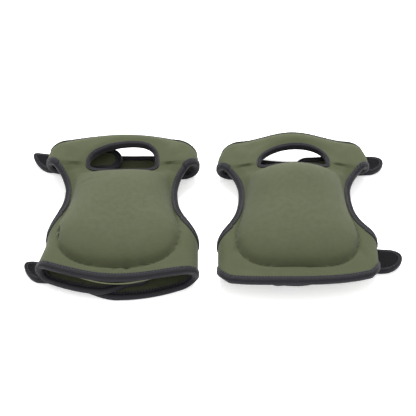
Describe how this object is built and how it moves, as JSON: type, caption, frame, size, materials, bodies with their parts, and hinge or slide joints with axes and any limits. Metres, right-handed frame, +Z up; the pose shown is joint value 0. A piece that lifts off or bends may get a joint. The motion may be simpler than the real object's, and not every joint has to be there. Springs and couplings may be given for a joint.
{
  "type": "pair of knee pads",
  "caption": "Pair of wrap-round neoprene knee pads with raised foam cushions, bound kneecap apertures and hook-tab wings, lying cushion up.",
  "frame": {"origin": "bottom centre of the pair, on the surface that it lies on", "axes": "+X across the pair towards the right pad's tabs, +Y from the shin end to the thigh end, +Z up out of the cushions"},
  "size_m": [0.4312, 0.244, 0.065],
  "materials": {
    "olive_neoprene": "matte",
    "green_lining": "matte",
    "binding_tape": "satin",
    "hook_tape": "matte",
    "loop_tape": "matte",
    "firm_foam": "matte",
    "memory_foam": "matte"
  },
  "bodies": {
    "left_back": {"left_upper_long_fold": "olive_neoprene", "left_upper_long_wing": "olive_neoprene", "left_upper_long_wing_binding": "binding_tape", "left_upper_hook_strip": "hook_tape", "left_lower_long_fold": "olive_neoprene", "left_lower_long_wing": "olive_neoprene", "left_lower_long_wing_binding": "binding_tape", "left_lower_hook_strip": "hook_tape"},
    "left_front": {"left_front_cover": "olive_neoprene", "left_leg_lining": "green_lining", "left_firm_foam_cushion": "firm_foam", "left_memory_foam_layer": "memory_foam", "left_aperture_binding": "binding_tape", "left_hem_binding": "binding_tape", "left_top_binding": "binding_tape", "left_inner_waist_binding": "binding_tape", "left_outer_waist_binding": "binding_tape"},
    "left_upper_short": {"left_upper_short_fold": "olive_neoprene", "left_upper_short_wing": "olive_neoprene", "left_upper_short_wing_binding": "binding_tape", "left_upper_loop_patch": "loop_tape"},
    "left_upper_tab": {"left_upper_hook_tab": "binding_tape", "left_upper_hook_patch": "hook_tape"},
    "left_lower_short": {"left_lower_short_fold": "olive_neoprene", "left_lower_short_wing": "olive_neoprene", "left_lower_short_wing_binding": "binding_tape", "left_lower_loop_patch": "loop_tape"},
    "left_lower_tab": {"left_lower_hook_tab": "binding_tape", "left_lower_hook_patch": "hook_tape"},
    "right_back": {"right_upper_long_fold": "olive_neoprene", "right_upper_long_wing": "olive_neoprene", "right_upper_long_wing_binding": "binding_tape", "right_upper_hook_strip": "hook_tape", "right_lower_long_fold": "olive_neoprene", "right_lower_long_wing": "olive_neoprene", "right_lower_long_wing_binding": "binding_tape", "right_lower_hook_strip": "hook_tape"},
    "right_front": {"right_front_cover": "olive_neoprene", "right_leg_lining": "green_lining", "right_firm_foam_cushion": "firm_foam", "right_memory_foam_layer": "memory_foam", "right_aperture_binding": "binding_tape", "right_hem_binding": "binding_tape", "right_top_binding": "binding_tape", "right_inner_waist_binding": "binding_tape", "right_outer_waist_binding": "binding_tape"},
    "right_upper_short": {"right_upper_short_fold": "olive_neoprene", "right_upper_short_wing": "olive_neoprene", "right_upper_short_wing_binding": "binding_tape", "right_upper_loop_patch": "loop_tape"},
    "right_upper_tab": {"right_upper_hook_tab": "binding_tape", "right_upper_hook_patch": "hook_tape"},
    "right_lower_short": {"right_lower_short_fold": "olive_neoprene", "right_lower_short_wing": "olive_neoprene", "right_lower_short_wing_binding": "binding_tape", "right_lower_loop_patch": "loop_tape"},
    "right_lower_tab": {"right_lower_hook_tab": "binding_tape", "right_lower_hook_patch": "hook_tape"}
  },
  "joints": [
    {"name": "left_front_open", "type": "hinge", "parent": "left_back", "child": "left_front", "pos_m": [-0.03332, 0, 0.01965], "axis": [0, 1, 0], "range_deg": [0, 65], "deforming": ["left_upper_long_fold", "left_lower_long_fold"]},
    {"name": "left_upper_short_open", "type": "hinge", "parent": "left_front", "child": "left_upper_short", "pos_m": [-0.17867, 0.092, 0.0237], "axis": [0, 1, 0], "range_deg": [0, 40], "deforming": ["left_upper_short_fold"]},
    {"name": "left_lower_short_open", "type": "hinge", "parent": "left_front", "child": "left_lower_short", "pos_m": [-0.17417, -0.08, 0.0237], "axis": [0, 1, 0], "range_deg": [0, 14], "deforming": ["left_lower_short_fold"]},
    {"name": "left_upper_tab_lift", "type": "hinge", "parent": "left_back", "child": "left_upper_tab", "pos_m": [-0.19467, 0.096, 0.0069], "axis": [0, 1, 0], "range_deg": [0, 60]},
    {"name": "left_lower_tab_lift", "type": "hinge", "parent": "left_back", "child": "left_lower_tab", "pos_m": [-0.19467, -0.081, 0.0069], "axis": [0, 1, 0], "range_deg": [0, 60]},
    {"name": "right_front_open", "type": "hinge", "parent": "right_back", "child": "right_front", "pos_m": [0.02088, 0, 0.01515], "axis": [0, -1, 0], "range_deg": [0, 65], "deforming": ["right_upper_long_fold", "right_lower_long_fold"]},
    {"name": "right_upper_short_open", "type": "hinge", "parent": "right_front", "child": "right_upper_short", "pos_m": [0.17523, 0.092, 0.0192], "axis": [0, -1, 0], "range_deg": [0, 40], "deforming": ["right_upper_short_fold"]},
    {"name": "right_lower_short_open", "type": "hinge", "parent": "right_front", "child": "right_lower_short", "pos_m": [0.17523, -0.08, 0.0192], "axis": [0, -1, 0], "range_deg": [0, 14], "deforming": ["right_lower_short_fold"]},
    {"name": "right_upper_tab_lift", "type": "hinge", "parent": "right_back", "child": "right_upper_tab", "pos_m": [0.18673, 0.092, 0.0069], "axis": [0, -1, 0], "range_deg": [0, 60]},
    {"name": "right_lower_tab_lift", "type": "hinge", "parent": "right_back", "child": "right_lower_tab", "pos_m": [0.18673, -0.064, 0.0069], "axis": [0, -1, 0], "range_deg": [0, 60]},
    {"name": "right_pad_lift", "type": "slide", "parent": "left_back", "child": "right_back", "axis": [0, 0, 1], "range_m": [0, 0.25]}
  ],
  "couplings": [
    {"joint": "left_upper_short_open", "follows": "left_front_open", "ratio": 0.6},
    {"joint": "left_lower_short_open", "follows": "left_front_open", "ratio": 0.2},
    {"joint": "right_upper_short_open", "follows": "right_front_open", "ratio": 0.6},
    {"joint": "right_lower_short_open", "follows": "right_front_open", "ratio": 0.2}
  ]
}
